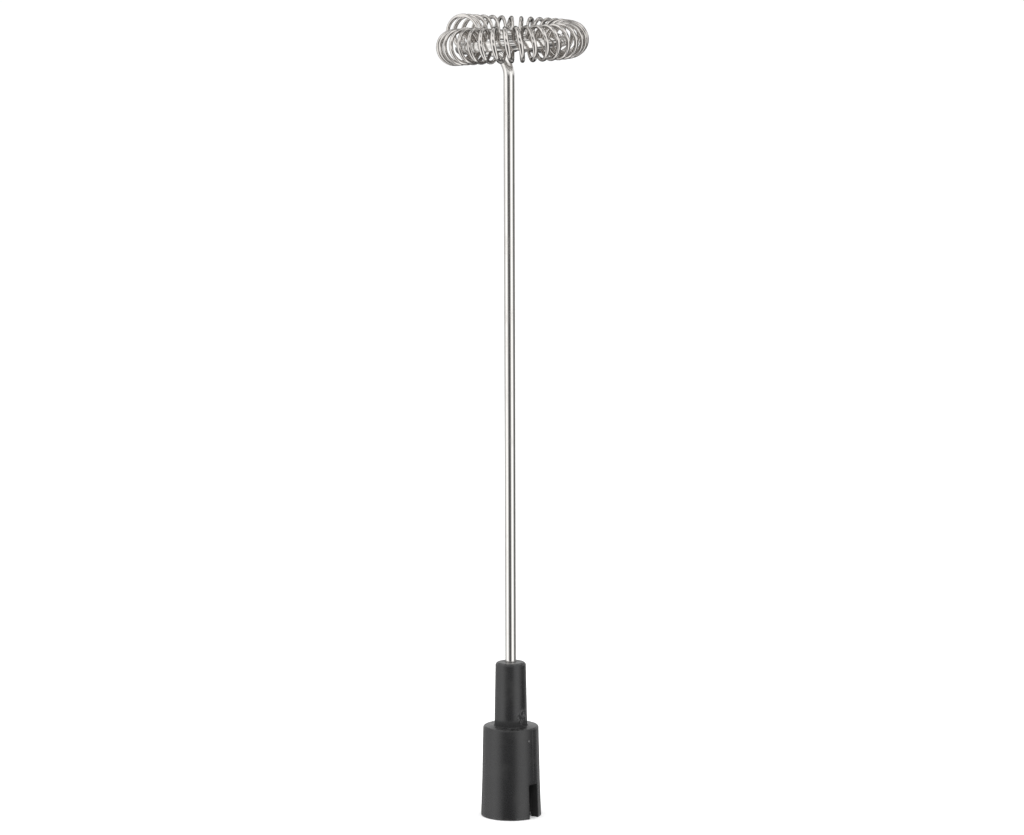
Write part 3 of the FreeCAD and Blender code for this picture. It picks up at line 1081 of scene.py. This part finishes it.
def moulded_black():
    """Spark-eroded black plastic with the marks of its mould and of use."""
    made, tree, shader = material("moulded_black")
    place = add_node(tree, "ShaderNodeTexCoord").outputs["Object"]
    split = add_node(tree, "ShaderNodeSeparateXYZ")
    feed(tree, split, "Vector", place)
    up = split.outputs["Z"]
    level = add_node(tree, "ShaderNodeVectorMath", operation="MULTIPLY")
    feed(tree, level, 0, place)
    feed(tree, level, 1, (1.0, 1.0, 0.0))
    out = measure(tree, "LENGTH", level.outputs[0])

    smudged = place_group(tree, smudges, Place=place, **PLASTIC_SMUDGES)
    rubbed = rubbed_edges(tree, place, up)
    foot = neck_foot(tree, out, up)
    # the cored faces are rougher, and their darker colour is painted shade in the recesses
    cored_and_shaded = cored_faces_with_shade(tree, place, out, up)
    scar = near_point(tree, place, GATE_ANGLE, gate_out - GATE_BALL, GATE_HEIGHT, SCAR_REACH)
    patch = near_point(tree, place, SLOT_ANGLE, NECK_BASE_RADIUS, 0.5 * sum(RAGGED), PATCH_REACH)
    spark = noise(tree, place, SPARK_SCALE, 2.0, 0.6)
    flow = noise(tree, place, FLOW_SCALE, 2.0, 0.5)
    speckle = noise(tree, place, SPECKLE_SCALE, 2.0, 0.7)
    grains = maths(tree, "MULTIPLY", patch, spread(tree, speckle, 0.53, 0.60))
    pits = maths(tree, "MULTIPLY", patch, fade(tree, speckle, 0.46, 0.53))

    colour = mix_colour(tree, flow, *FRESH_BLACKS)
    for mask, tint in ((maths(tree, "MULTIPLY", smudged, DUST_SHARE), DUST),
                       (maths(tree, "MULTIPLY", rubbed, RUBBED_SHARE), RUBBED),
                       (scar, SCAR), (grains, GRAINS), (cored_and_shaded, CORED_SHADE_BLACK)):
        colour = mix_colour(tree, mask, colour, tint)
    feed(tree, shader, "Base Color", colour)

    rough = spread(tree, spark, 0.3, 0.7, *SPARK_ROUGHNESS)
    for mask, added in ((maths(tree, "MAXIMUM", smudged, rubbed), HANDLED_ROUGHNESS),
                        (pits, PIT_ROUGHNESS), (foot, FOOT_ROUGHNESS)):
        rough = maths(tree, "MULTIPLY_ADD", mask, added, rough)
    rough = maths(tree, "MULTIPLY_ADD", cored_and_shaded, CORED_ROUGHNESS, rough, clamp=True)
    feed(tree, shader, "Roughness", rough)

    fine = maths(tree, "MULTIPLY_ADD", flow, FLOW_BUMP, spark)
    torn = maths(tree, "MULTIPLY", maths(tree, "MULTIPLY", patch, TORN_BUMP), speckle)
    raise_bumps(tree, shader, maths(tree, "ADD", fine, torn), SKIN_DEPTH)
    return made


finish(coupler, moulded_black(), "whisk", "coupler")

# %% [markdown]
# ### The floor
#
# A studio floor is matt white paint. One flat colour would do, but a slow noise between
# two nearly equal whites keeps it from looking like a sheet of light.

# %% Pale floor finish
FLOOR_WHITES = (grey(0.92), grey(0.94))
FLOOR_ROUGHNESS = 0.9
ROLLER_SCALE = 9.0


def pale_floor():
    """Matt white studio paint, a shade uneven from the roller."""
    made, tree, shader = material("studio_floor")
    place = add_node(tree, "ShaderNodeTexCoord").outputs["Object"]
    uneven = noise(tree, place, ROLLER_SCALE, 3.0, 0.5)
    feed(tree, shader, "Base Color", mix_colour(tree, uneven, *FLOOR_WHITES))
    feed(tree, shader, "Roughness", FLOOR_ROUGHNESS)
    return made


floor.data.materials.append(pale_floor())
print("floor painted")

# %% [markdown]
# ## The end of the lesson
#
# Last of all, the box of the imported model and the box of the finished pieces are printed
# side by side, which shows at once if a piece has grown or moved.

sizes = {"cad_box": [list(corner) for corner in cad_box],
         "visual_box": [list(corner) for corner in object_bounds()]}
for name, box in sizes.items():
    print(name, "in mm:", [[round(side / MM, 2) for side in corner] for corner in box])
